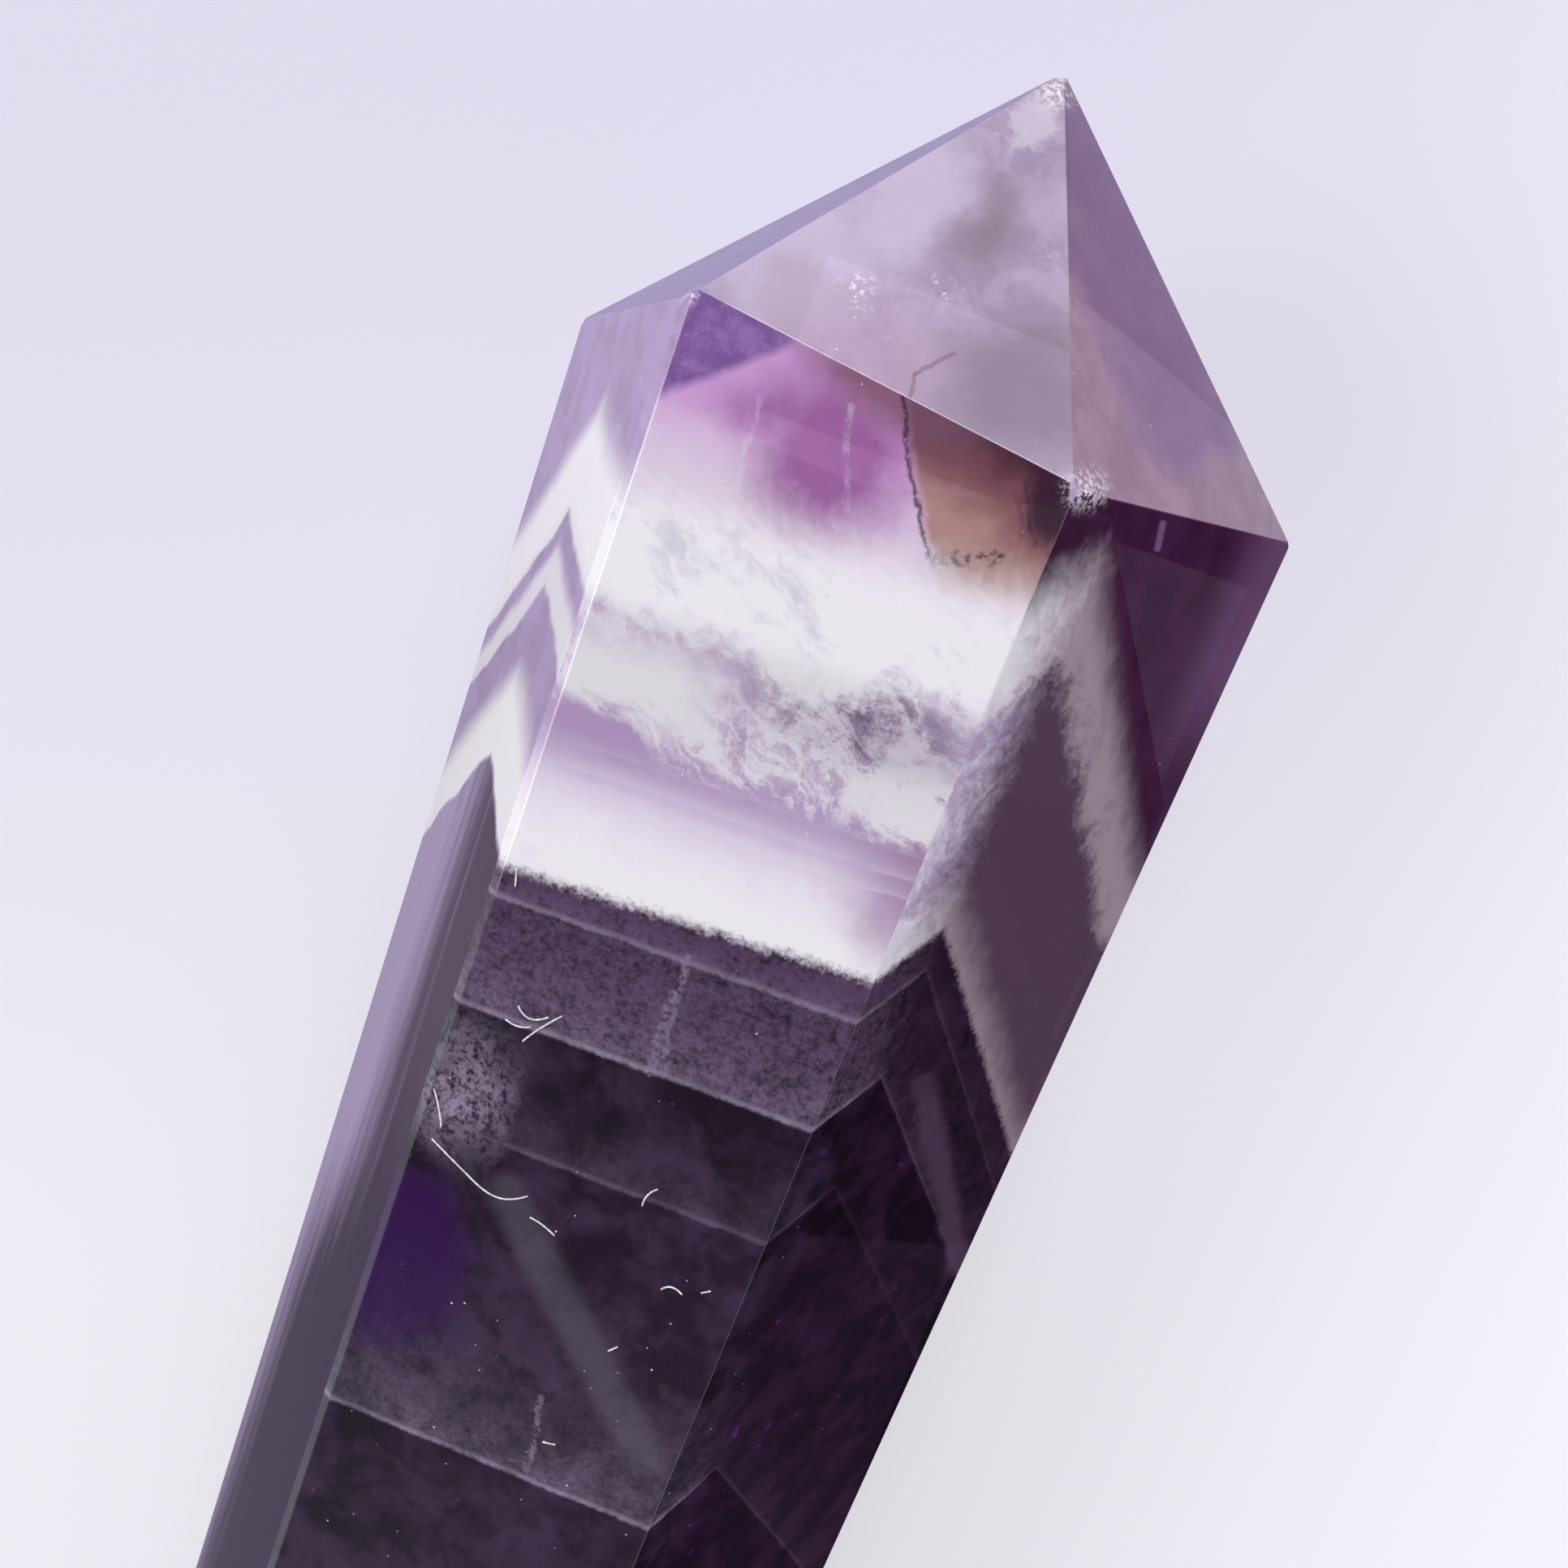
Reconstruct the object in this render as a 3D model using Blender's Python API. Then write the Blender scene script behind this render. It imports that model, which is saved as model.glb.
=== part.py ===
"""A double terminated point of chevron amethyst, lying on one of its six long faces.

The stone is one solid. Its long axis runs along Y, and the sharper, better seen end points to +Y.
The widest polished face looks straight up, and the face opposite it is the one the stone rests on.
Directions around the long axis are given as a turn in degrees: 0 is up, 90 is +X, 180 is down.
"""

import math

import bmesh
import bpy
from mathutils import Matrix, Vector

OBJECT_NAME = "chevron_amethyst_point"
NODE_NAME = "amethyst_point"

# Overall length from one ideal apex to the other, before the tips are blunted.
LENGTH = 0.0841

# Six long faces: the turn of each face, and its distance from the long axis.
TOP_FACE = (0.0, 0.01037)
RIGHT_FACE = (60.0, 0.00997)
LOWER_RIGHT_FACE = (120.0, 0.01072)
REST_FACE = (180.0, 0.01040)
LOWER_LEFT_FACE = (-120.0, 0.01066)
LEFT_FACE = (-60.0, 0.01012)
LONG_FACES = (TOP_FACE, RIGHT_FACE, LOWER_RIGHT_FACE, REST_FACE, LOWER_LEFT_FACE, LEFT_FACE)

# Near termination: where its apex sits off the long axis, across and up.
NEAR_APEX_X = 0.00041
NEAR_APEX_Z = 0.00188
# Its six facets: the turn of each, and how far each leans away from the end of the stone.
NEAR_FACETS = ((5.4, 48.7), (59.2, 49.6), (120.0, 42.1), (180.0, 45.0), (-120.0, 44.4), (-69.3, 46.9))

# Far termination, cut the same way but a little blunter and off centre to the other side.
FAR_APEX_X = -0.0006
FAR_APEX_Z = -0.0004
FAR_FACETS = ((-2.0, 46.5), (61.0, 48.0), (118.0, 47.0), (180.0, 45.5), (-122.0, 47.5), (-58.0, 46.0))

# Narrow polished flat along the long edge between the top face and the left face.
EDGE_FLAT_TURN = -30.0
EDGE_FLAT_DEPTH = 0.00011

# Worn spots, each ground off as one tiny flat.
NEAR_TIP_WEAR = 0.00018
NEAR_TIP_LEAN = -22.0
FAR_TIP_WEAR = 0.00035
FAR_TIP_LEAN = 8.0
RIGHT_SHOULDER_WEAR = 0.00010
LEFT_SHOULDER_WEAR = 0.00006

# The rough blank that the stone is ground from.
BLANK_RADIUS = 0.016
BLANK_LENGTH = LENGTH * 1.2

BODY_COLOUR = (0.19, 0.09, 0.30, 1.0)
BODY_ROUGHNESS = 0.06
QUARTZ_IOR = 1.544
CLEARNESS = 0.85


def around(turn):
    """Unit direction square to the long axis, turned from straight up towards +X."""
    angle = math.radians(turn)
    return Vector((math.sin(angle), 0.0, math.cos(angle)))


def leaning(turn, lean, end):
    """Normal of a facet that leans away from the stone's end, +1 for the near end and -1 for the far."""
    angle = math.radians(lean)
    return around(turn) * math.sin(angle) + Vector((0.0, end * math.cos(angle), 0.0))


def edge_between(first, second):
    """The point on the long edge where two long faces meet, in the plane square to the axis."""
    a, b = around(first[0]), around(second[0])
    slant = a.x * b.z - a.z * b.x
    x = (first[1] * b.z - second[1] * a.z) / slant
    z = (a.x * second[1] - b.x * first[1]) / slant
    return Vector((x, 0.0, z))


def rough_blank(stone):
    """An oversized six-sided bar along Y, to be ground down facet by facet."""
    lay_down = Matrix.Rotation(math.radians(90.0), 4, "X")
    bmesh.ops.create_cone(
        stone,
        cap_ends=True,
        segments=6,
        radius1=BLANK_RADIUS,
        radius2=BLANK_RADIUS,
        depth=BLANK_LENGTH,
        matrix=lay_down,
    )


def grind(stone, point, normal):
    """Grind one flat: everything beyond the plane goes, and the cut is closed with one facet."""
    everything = stone.verts[:] + stone.edges[:] + stone.faces[:]
    cut = bmesh.ops.bisect_plane(
        stone,
        geom=everything,
        dist=1e-8,
        plane_co=point,
        plane_no=normal,
        clear_outer=True,
    )
    rim = [item for item in cut["geom_cut"] if isinstance(item, bmesh.types.BMEdge)]
    bmesh.ops.contextual_create(stone, geom=rim)


def grind_long_faces(stone):
    for turn, distance in LONG_FACES:
        grind(stone, around(turn) * distance, around(turn))


def grind_edge_flat(stone):
    """The narrow flat keeps the same width all along the edge."""
    direction = around(EDGE_FLAT_TURN)
    edge = edge_between(TOP_FACE, LEFT_FACE)
    grind(stone, edge - direction * EDGE_FLAT_DEPTH, direction)


def grind_termination(stone, apex, facets, end):
    for turn, lean in facets:
        grind(stone, apex, leaning(turn, lean, end))


def blunt_tip(stone, apex, wear, lean, end):
    """The last fraction of a millimetre of a point is always worn away, a little to one side."""
    grind(stone, apex - Vector((0.0, end * wear, 0.0)), leaning(90.0, lean, end))


def nearest_corner(stone, point):
    return min(stone.verts, key=lambda corner: (corner.co - point).length)


def chip_corner(stone, guess, wear):
    """Take a sliver off one corner, square to the mean of the faces that meet there."""
    corner = nearest_corner(stone, guess)
    direction = sum((face.normal for face in corner.link_faces), Vector())
    direction.normalize()
    grind(stone, corner.co - direction * wear, direction)


def set_on_ground(stone):
    """Put the middle of the footprint at the origin, with the resting face at zero height."""
    low = Vector([min(corner.co[axis] for corner in stone.verts) for axis in range(3)])
    high = Vector([max(corner.co[axis] for corner in stone.verts) for axis in range(3)])
    middle = (low + high) / 2
    bmesh.ops.translate(stone, verts=stone.verts, vec=(-middle.x, -middle.y, -low.z))


def stone_mesh():
    stone = bmesh.new()
    rough_blank(stone)
    grind_long_faces(stone)
    grind_edge_flat(stone)

    near_apex = Vector((NEAR_APEX_X, LENGTH / 2, NEAR_APEX_Z))
    far_apex = Vector((FAR_APEX_X, -LENGTH / 2, FAR_APEX_Z))
    grind_termination(stone, near_apex, NEAR_FACETS, 1)
    grind_termination(stone, far_apex, FAR_FACETS, -1)
    blunt_tip(stone, near_apex, NEAR_TIP_WEAR, NEAR_TIP_LEAN, 1)
    blunt_tip(stone, far_apex, FAR_TIP_WEAR, FAR_TIP_LEAN, -1)

    shoulder_y = LENGTH / 2 - TOP_FACE[1]
    right_shoulder = edge_between(TOP_FACE, RIGHT_FACE) + Vector((0.0, shoulder_y, 0.0))
    left_shoulder = edge_between(TOP_FACE, LEFT_FACE) + Vector((0.0, shoulder_y, 0.0))
    chip_corner(stone, right_shoulder, RIGHT_SHOULDER_WEAR)
    chip_corner(stone, left_shoulder, LEFT_SHOULDER_WEAR)

    bmesh.ops.recalc_face_normals(stone, faces=stone.faces)
    set_on_ground(stone)
    mesh = bpy.data.meshes.new(NODE_NAME)
    stone.to_mesh(mesh)
    stone.free()
    return mesh


def amethyst_material():
    material = bpy.data.materials.new("amethyst")
    material.use_nodes = True
    shader = material.node_tree.nodes["Principled BSDF"]
    shader.inputs["Base Color"].default_value = BODY_COLOUR
    shader.inputs["Roughness"].default_value = BODY_ROUGHNESS
    shader.inputs["Metallic"].default_value = 0.0
    shader.inputs["IOR"].default_value = QUARTZ_IOR
    shader.inputs["Transmission Weight"].default_value = CLEARNESS
    material.diffuse_color = BODY_COLOUR
    return material


def clear_scene():
    for item in list(bpy.data.objects):
        bpy.data.objects.remove(item, do_unlink=True)


def main():
    clear_scene()
    stone = bpy.data.objects.new(NODE_NAME, stone_mesh())
    stone.data.materials.append(amethyst_material())
    parts = bpy.data.collections.new(OBJECT_NAME)
    bpy.context.scene.collection.children.link(parts)
    parts.objects.link(stone)


main()
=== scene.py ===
# %% [markdown]
# # A double terminated point of chevron amethyst
#
# Amethyst is quartz coloured violet by a little iron. As the crystal grew, clear, violet and milky
# quartz were laid down in turn, each layer covering the last like a coat of paint on a roof. Cut
# along its length and polished, the stone shows those layers as chevrons: across each long face
# a layer is a line, and on the next face the same line bends and runs away at a slant.
#
# The finished stone here has six polished long faces and a six-sided point at each end. It lies on
# one long face, and we look down on the opposite one. The work goes in this order: the polished
# body, the growth layers inside it, what grew or broke within the stone, then the finishes, the
# light and the view.

# %% Frame, and the tools used below
import math
import random
from functools import reduce

import bmesh
import bpy
from mathutils import Matrix, Vector


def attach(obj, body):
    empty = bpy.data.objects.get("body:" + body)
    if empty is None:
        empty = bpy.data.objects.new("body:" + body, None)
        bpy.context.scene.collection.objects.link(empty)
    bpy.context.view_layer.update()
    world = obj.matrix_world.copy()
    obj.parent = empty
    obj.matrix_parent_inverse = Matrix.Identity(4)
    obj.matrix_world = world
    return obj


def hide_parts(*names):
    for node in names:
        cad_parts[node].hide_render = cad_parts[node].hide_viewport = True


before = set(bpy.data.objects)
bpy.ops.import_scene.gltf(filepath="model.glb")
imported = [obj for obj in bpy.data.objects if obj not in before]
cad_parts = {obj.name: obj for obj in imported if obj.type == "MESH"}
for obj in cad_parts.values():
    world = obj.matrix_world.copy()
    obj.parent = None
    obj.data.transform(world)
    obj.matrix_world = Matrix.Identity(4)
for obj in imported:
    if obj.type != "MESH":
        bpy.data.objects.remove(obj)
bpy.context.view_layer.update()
STONE = "amethyst_point"
BODY = "root"
MM = 0.001

# %% [markdown]
# ## The growth field
#
# Everything banded in this stone follows one rule. Each layer is a roof with its ridge running
# across the stone a few millimetres under the top face. In front of the ridge the roof falls
# gently towards the top face, and behind the ridge it falls at 45 degrees. The number that says
# which layer a point belongs to is its growth height: the place along the stone, in millimetres,
# where that layer would meet the middle of the top face. The same numbers are used twice, once to
# cut real layers inside the stone and once to draw them where they reach the skin.

# %% Numbers of the growth field, in millimetres
TOP_FACE_Z = 20.77
RIDGE_Z = 17.5
RIDGE_TILT = 0.179
SIDE_TILT = 0.08
FRONT_FALL = 0.5
FRONT_FALL_TILT = 0.025
BACK_FALL = 1.0

MILKY_ONE = (24.7, 28.0)
MILKY_TWO = (16.7, 18.9)
# Frosted lines: growth height, strength, and how far the mist above each line reaches.
NEAR_FROST_LINES = ((15.55, 0.70, 0.5), (11.95, 1.00, 1.5), (8.0, 0.30, 1.0), (-2.85, 0.85, 2.0))
FAR_FROST_LINES = ((-12.0, 0.55, 1.3), (-19.5, 0.80, 1.8), (-27.5, 0.70, 1.5))
print("frosted lines:", len(NEAR_FROST_LINES) + len(FAR_FROST_LINES))


# %% [markdown]
# ## Writing a finish as sums
#
# A finish is a graph of small steps. Written node by node it would hide what it does, so a
# socket's value is wrapped in a class that understands plus, minus, times and divide. The finish
# then reads as the arithmetic that it is.

# %% Shader arithmetic
# A face counts for a direction from the first cosine between them, and fully from the second.
FACING = (0.86, 0.98)


class Value:
    """One number, or one vector, on its way through a finish."""

    def __init__(self, bench, socket):
        self.bench = bench
        self.socket = socket

    def __add__(self, other):
        return self.bench.math("ADD", self, other)

    def __radd__(self, other):
        return self.bench.math("ADD", other, self)

    def __sub__(self, other):
        return self.bench.math("SUBTRACT", self, other)

    def __rsub__(self, other):
        return self.bench.math("SUBTRACT", other, self)

    def __mul__(self, other):
        return self.bench.math("MULTIPLY", self, other)

    def __rmul__(self, other):
        return self.bench.math("MULTIPLY", other, self)

    def __truediv__(self, other):
        return self.bench.math("DIVIDE", self, other)

    def __rtruediv__(self, other):
        return self.bench.math("DIVIDE", other, self)


class Bench:
    """A material or the world's light being made, with one method for each kind of step."""

    def __init__(self, owner):
        owner.use_nodes = True
        self.owner = owner
        self.tree = owner.node_tree
        self.tree.nodes.clear()

    def node(self, kind, settings=None, **inputs):
        made = self.tree.nodes.new("ShaderNode" + kind)
        for key, value in (settings or {}).items():
            setattr(made, key, value)
        for key, value in inputs.items():
            self.feed(made.inputs[key.replace("_", " ")], value)
        return made

    def feed(self, socket, value):
        if isinstance(value, Value):
            self.tree.links.new(value.socket, socket)
        elif value is not None:
            socket.default_value = value

    def math(self, operation, *numbers):
        made = self.node("Math", {"operation": operation})
        for socket, number in zip(made.inputs, numbers):
            self.feed(socket, number)
        return Value(self, made.outputs[0])

    def vector_math(self, operation, *vectors):
        made = self.node("VectorMath", {"operation": operation})
        for socket, vector in zip(made.inputs, vectors):
            self.feed(socket, vector)
        single = operation in ("DOT_PRODUCT", "LENGTH", "DISTANCE")
        return Value(self, made.outputs["Value" if single else "Vector"])

    def smooth(self, number, start, end, full=1.0):
        """0 before start, full after end, and an S-curve between. It falls if end is under start."""
        low, high, first, last = (start, end, 0.0, full) if start < end else (end, start, full, 0.0)
        made = self.node(
            "MapRange", {"interpolation_type": "SMOOTHSTEP"},
            Value=number, From_Min=low, From_Max=high, To_Min=first, To_Max=last,
        )
        return Value(self, made.outputs[0])

    def lower(self, first, second):
        return self.math("MINIMUM", first, second)

    def higher(self, first, second):
        return self.math("MAXIMUM", first, second)

    def fade(self, number, reach):
        """1 at zero and below, then dying away, down to a third at reach."""
        return self.math("EXPONENT", self.higher(number, 0.0) * (-1.0 / reach))

    def line(self, number, centre, half_width, full=1.0):
        """Full on the centre line, 0 beyond half a width on either side."""
        away = self.math("ABSOLUTE", number - centre)
        return self.smooth(away, half_width, 0.0, full)

    def blob(self, where, place, size):
        """A soft round or oval patch seen from above."""
        scale = (1.0 / size[0], 1.0 / size[1], 0.0)
        start = (-place[0] / size[0], -place[1] / size[1], 0.0)
        away = self.vector_math("MULTIPLY_ADD", where, scale, start)
        return self.smooth(self.vector_math("LENGTH", away), 1.0, 0.0)

    def blobs(self, where, *patches):
        """The fullest of several soft patches; each is a place and a size."""
        return reduce(self.higher, (self.blob(where, *patch) for patch in patches))

    def noise(self, where, scale, detail=3.0, roughness=0.5, distortion=0.0):
        made = self.node(
            "TexNoise", {"noise_dimensions": "3D"},
            Vector=where, Scale=scale, Detail=detail, Roughness=roughness, Distortion=distortion,
        )
        return Value(self, made.outputs[0])

    def shifts(self, where, scale, detail, reach):
        """Three irregular numbers from -reach/2 to reach/2, to push a point about."""
        made = self.node(
            "TexNoise", {"noise_dimensions": "3D"},
            Vector=where, Scale=scale, Detail=detail, Roughness=0.55,
        )
        centred = self.vector_math("SUBTRACT", Value(self, made.outputs["Color"]), (0.5, 0.5, 0.5))
        return self.vector_math("MULTIPLY", centred, (reach, reach, reach))

    def flakes(self, where, scale, size, share, kind="EUCLIDEAN"):
        """Small separate spots: in cells of 1/scale mm, a share of the cells has one."""
        made = self.node("TexVoronoi", {"feature": "F1", "distance": kind}, Vector=where, Scale=scale)
        pick = self.node("SeparateColor", Color=Value(self, made.outputs["Color"]))
        near = self.smooth(Value(self, made.outputs["Distance"]), size * scale, size * scale * 0.5)
        return near * self.smooth(Value(self, pick.outputs[0]), 1.0 - share, 1.0 - share * 0.6)

    def streak(self, where, start, end, half_width):
        """1 on the straight stretch seen from above, 0 beyond half a width from it."""
        run = Vector((end[0] - start[0], end[1] - start[1], 0.0))
        back = (-start[0], -start[1], 0.0)
        from_start = self.vector_math("MULTIPLY_ADD", where, (1.0, 1.0, 0.0), back)
        part = self.vector_math("DOT_PRODUCT", from_start, tuple(run / run.length_squared))
        part = self.lower(self.higher(part, 0.0), 1.0)
        nearest = self.vector_math("MULTIPLY", part, tuple(run))
        away = self.vector_math("DISTANCE", from_start, nearest)
        return self.smooth(away, half_width, half_width * 0.3)

    def stretched(self, where, factors):
        return self.vector_math("MULTIPLY", where, factors)

    def blend(self, amount, first, second, kind="MIX"):
        """From the first colour to the second."""
        made = self.node("Mix", {"data_type": "RGBA", "blend_type": kind})
        self.feed(made.inputs[0], amount)
        self.feed(made.inputs[6], first if isinstance(first, Value) else (*first, 1.0))
        self.feed(made.inputs[7], second if isinstance(second, Value) else (*second, 1.0))
        return Value(self, made.outputs[2])

    def place(self):
        """Where the point lies in the stone, in millimetres: a vector, and its three numbers."""
        there = Value(self, self.node("TexCoord").outputs["Object"])
        where = self.stretched(there, (1.0 / MM,) * 3)
        split = self.node("SeparateXYZ", Vector=where)
        return (where, *(Value(self, socket) for socket in split.outputs))

    def facing(self, direction):
        """1 on the facet that faces this way."""
        there = self.node("TexCoord")
        along = self.vector_math("DOT_PRODUCT", Value(self, there.outputs["Normal"]), tuple(direction))
        return self.smooth(along, *FACING)

    def shader(self, kind, **inputs):
        return Value(self, self.node(kind, None, **inputs).outputs[0])

    def principled(self, **inputs):
        """A number given here is the same all over; a Value varies over the surface."""
        return self.shader("BsdfPrincipled", **inputs)

    def mix_shaders(self, amount, first, second):
        made = self.node("MixShader")
        self.feed(made.inputs[0], amount)
        self.tree.links.new(first.socket, made.inputs[1])
        self.tree.links.new(second.socket, made.inputs[2])
        return Value(self, made.outputs[0])

    def finish(self, surface, volume=None):
        out = self.node("Output" + ("World" if isinstance(self.owner, bpy.types.World) else "Material"))
        self.tree.links.new(surface.socket, out.inputs["Surface"])
        if volume is not None:
            self.tree.links.new(volume.socket, out.inputs["Volume"])
        return self.owner


def growth_height(bench, across, along, up):
    """The growth height of a point, from its three coordinates in millimetres."""
    ridge = across * RIDGE_TILT + RIDGE_Z
    fall = across * FRONT_FALL_TILT + FRONT_FALL
    front = fall * (TOP_FACE_Z - up)
    crest = fall * (TOP_FACE_Z - ridge)
    back = crest - BACK_FALL * (ridge - up)
    return along - SIDE_TILT * across - bench.lower(front, back)


# %% [markdown]
# ## The polished body
#
# The body is ground by hand, one facet after another, and then polished. The grinding wheel leaves
# crisp edges, but the last polish always breaks them by a few hundredths of a millimetre, and that
# is what draws a fine bright line along every edge. The body starts as a copy of the ground solid:
# its triangles are joined back into whole facets, and each edge is then bevelled by that much.

# %% Body
EDGE_BREAK = 0.00004
EDGE_STEPS = 2
SAME_FACET = math.radians(0.2)
SAME_POINT = 1e-6


def ground_solid():
    """The stone's solid as one closed mesh with whole facets."""
    solid = bmesh.new()
    solid.from_mesh(bpy.data.objects[STONE].data)
    bmesh.ops.remove_doubles(solid, verts=solid.verts, dist=SAME_POINT)
    bmesh.ops.dissolve_limit(solid, angle_limit=SAME_FACET, verts=solid.verts, edges=solid.edges)
    bmesh.ops.recalc_face_normals(solid, faces=solid.faces)
    return solid


def new_piece(name, solid, materials):
    mesh = bpy.data.meshes.new(name)
    solid.to_mesh(mesh)
    solid.free()
    for material in materials:
        mesh.materials.append(material)
    piece = bpy.data.objects.new(name, mesh)
    bpy.context.scene.collection.objects.link(piece)
    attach(piece, BODY)
    return piece


def polished_body():
    solid = ground_solid()
    facets = len(solid.faces)
    bmesh.ops.bevel(
        solid, geom=solid.edges[:], offset=EDGE_BREAK, segments=EDGE_STEPS, profile=0.5,
        affect="EDGES", clamp_overlap=True,
    )
    bmesh.ops.recalc_face_normals(solid, faces=solid.faces)
    piece = new_piece("polished_stone", solid, [])
    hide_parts(STONE)
    print("facets ground:", facets, " faces with broken edges:", len(piece.data.polygons))
    return piece


body = polished_body()

# %% [markdown]
# ## Milky layers inside the stone
#
# Where the crystal grew fast it caught countless tiny bubbles of water, and that quartz is milky.
# Two such layers are thick enough to be solid white. Each is cut here as it lies in the stone:
# take the whole stone, a little under its skin, split it at the ridge, and keep on each side of the
# ridge what lies between the layer's lower and upper roof plane.

# %% Layers cut from the stone
UNDER_SKIN = 0.35
MEETING = 0.01
ON_THE_PLANE = 1e-8


def cut_away(solid, point, normal):
    """Remove what lies beyond the plane, and close the cut."""
    everything = solid.verts[:] + solid.edges[:] + solid.faces[:]
    cut = bmesh.ops.bisect_plane(
        solid, geom=everything, dist=ON_THE_PLANE,
        plane_co=Vector(point) * MM, plane_no=normal, clear_outer=True,
    )
    rim = [item for item in cut["geom_cut"] if isinstance(item, bmesh.types.BMEdge)]
    if rim:
        bmesh.ops.contextual_create(solid, geom=rim)


def stone_under_skin(depth):
    """The stone's solid, drawn in by this many millimetres on all sides."""
    solid = ground_solid()
    planes = [(face.normal.copy(), face.calc_center_median().copy()) for face in solid.faces]
    for normal, centre in planes:
        inner = centre / MM - normal * depth
        cut_away(solid, inner, normal)
    return solid


def roof_normals():
    """Upward normals of a layer in front of the ridge and behind it."""
    front = Vector((-SIDE_TILT, 1.0, FRONT_FALL)).normalized()
    back = Vector((-SIDE_TILT, 1.0, -BACK_FALL)).normalized()
    return front, back


def roof_point(height):
    """The middle of a layer's ridge."""
    return Vector((0.0, height + FRONT_FALL * (TOP_FACE_Z - RIDGE_Z), RIDGE_Z))


def ridge_normal():
    return Vector((-RIDGE_TILT, 0.0, 1.0)).normalized()


def layer_half(low, high, depth, side):
    """One side of a layer: side 1 is in front of the ridge, -1 is behind it."""
    solid = stone_under_skin(depth)
    front, back = roof_normals()
    slope = front if side > 0 else back
    overlap = ridge_normal() * (MEETING * side)
    cut_away(solid, roof_point(0) - overlap, -side * ridge_normal())
    cut_away(solid, roof_point(high), slope)
    cut_away(solid, roof_point(low), -slope)
    return solid


def growth_layer(name, low, high, depth, material):
    """A whole layer, from its two halves."""
    whole = bmesh.new()
    for side in (1, -1):
        half = layer_half(low, high, depth, side)
        mesh = bpy.data.meshes.new(name + "_half")
        half.to_mesh(mesh)
        half.free()
        whole.from_mesh(mesh)
        bpy.data.meshes.remove(mesh)
    bmesh.ops.recalc_face_normals(whole, faces=whole.faces)
    piece = new_piece(name, whole, [material])
    print(name, "faces:", len(piece.data.polygons))
    return piece


# %% [markdown]
# ## The finish of the skin
#
# On a polished stone the skin is clear: what is seen is what lies under it. Close under the skin
# lie the milky layers, veils of tiny bubbles and frosted growth lines, and they hide what is deeper.
# The finish therefore mixes two things at every point. The glassy part is clear quartz with its
# own refraction, through which the inner layers show. The stony part is what scatters light just
# under the skin, and its colour follows the growth height.

# %% Skin: facets and colours
QUARTZ_IOR = 1.544
POLISH = 0.05
TOP = Vector((0.0, 0.0, 1.0))
RIGHT = Vector((0.866, 0.0, 0.5))
LEFT = Vector((-0.866, 0.0, 0.5))
END_TOP = Vector((0.071, 0.660, 0.748))
END_RIGHT = Vector((0.654, 0.648, 0.390))
END_LEFT = Vector((-0.683, 0.683, 0.258))

WHITE = (0.78, 0.775, 0.79)
MILKY_SHADE = (0.60, 0.585, 0.65)
PINK_WHITE = (0.74, 0.63, 0.77)
LILAC_PINK = (0.62, 0.35, 0.67)
MAGENTA = (0.34, 0.125, 0.345)
MAUVE = (0.20, 0.085, 0.12)
PAINTED_REFLECTION_DARK = (0.19, 0.095, 0.30)
PAINTED_REFLECTION_PALE = (0.28, 0.16, 0.41)
MAUVE_BROWN = (0.17, 0.07, 0.105)
BROWN = (0.045, 0.008, 0.018)
ORANGE = (0.21, 0.08, 0.085)
PEACH = (0.43, 0.25, 0.22)
PLUM = (0.030, 0.006, 0.016)
MOTTLE_LIGHT = (0.76, 0.71, 0.80)
MOTTLE_DARK = (0.44, 0.35, 0.51)
SHADE = (0.13, 0.085, 0.155)
PURPLE_STRIP = (0.43, 0.30, 0.51)
LAVENDER = (0.68, 0.60, 0.75)
MAUVE_LAVENDER = (0.31, 0.175, 0.32)
OUTER_LILAC = (0.34, 0.24, 0.44)
OUTER_PALE = (0.50, 0.40, 0.61)
DEEP = (0.006, 0.002, 0.008)
DEEP_VIOLET = (0.022, 0.001, 0.050)
GREY_VIOLET = (0.032, 0.018, 0.044)
FROST = (0.27, 0.225, 0.32)
GRAINY = (0.080, 0.044, 0.094)
UNDER_MILK = (0.070, 0.036, 0.085)
DUST = (0.70, 0.66, 0.74)
PAINTED_REFLECTION_GREY = (0.072, 0.062, 0.082)
FAR_VIOLET = (0.07, 0.028, 0.115)
RIGHT_TINT = (0.46, 0.36, 0.41)
RIGHT_PLUM = (0.032, 0.004, 0.028)
RIGHT_PLUM_PALE = (0.050, 0.010, 0.046)
RIGHT_BETWEEN = (0.090, 0.048, 0.088)
RIGHT_RIM = (0.17, 0.085, 0.19)
RIGHT_DEEP = (0.005, 0.001, 0.006)
RIGHT_DEEP_PALE = (0.032, 0.006, 0.036)
VIOLET_GLINT = (0.15, 0.02, 0.24)
RIGHT_PATCH = (0.20, 0.10, 0.15)
RIGHT_FLAKE = (0.20, 0.11, 0.21)
RIGHT_VEIL = (0.10, 0.055, 0.11)
BRUISE = (0.84, 0.80, 0.86)
SPARK = (0.86, 0.82, 0.88)
LEFT_VIOLET = (0.50, 0.39, 0.63)
LEFT_STRIPE = (0.42, 0.32, 0.49)
LEFT_WHITE = (0.97, 0.96, 0.95)
LEFT_PAINTED_SHEEN = (0.44, 0.37, 0.55)
LEFT_INNER = (0.075, 0.052, 0.085)
LEFT_INNER_DEEP = (0.022, 0.010, 0.028)
END_HAZE = (0.31, 0.235, 0.345)
END_HAZE_PALE = (0.45, 0.37, 0.49)
END_PAINTED_REFLECTION = (0.55, 0.48, 0.62)
END_PINK = (0.40, 0.275, 0.37)
END_GREY = (0.20, 0.145, 0.20)
END_TIP = (0.66, 0.62, 0.72)
END_MAUVE = (0.235, 0.145, 0.195)
END_MAUVE_PALE = (0.31, 0.205, 0.255)
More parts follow.
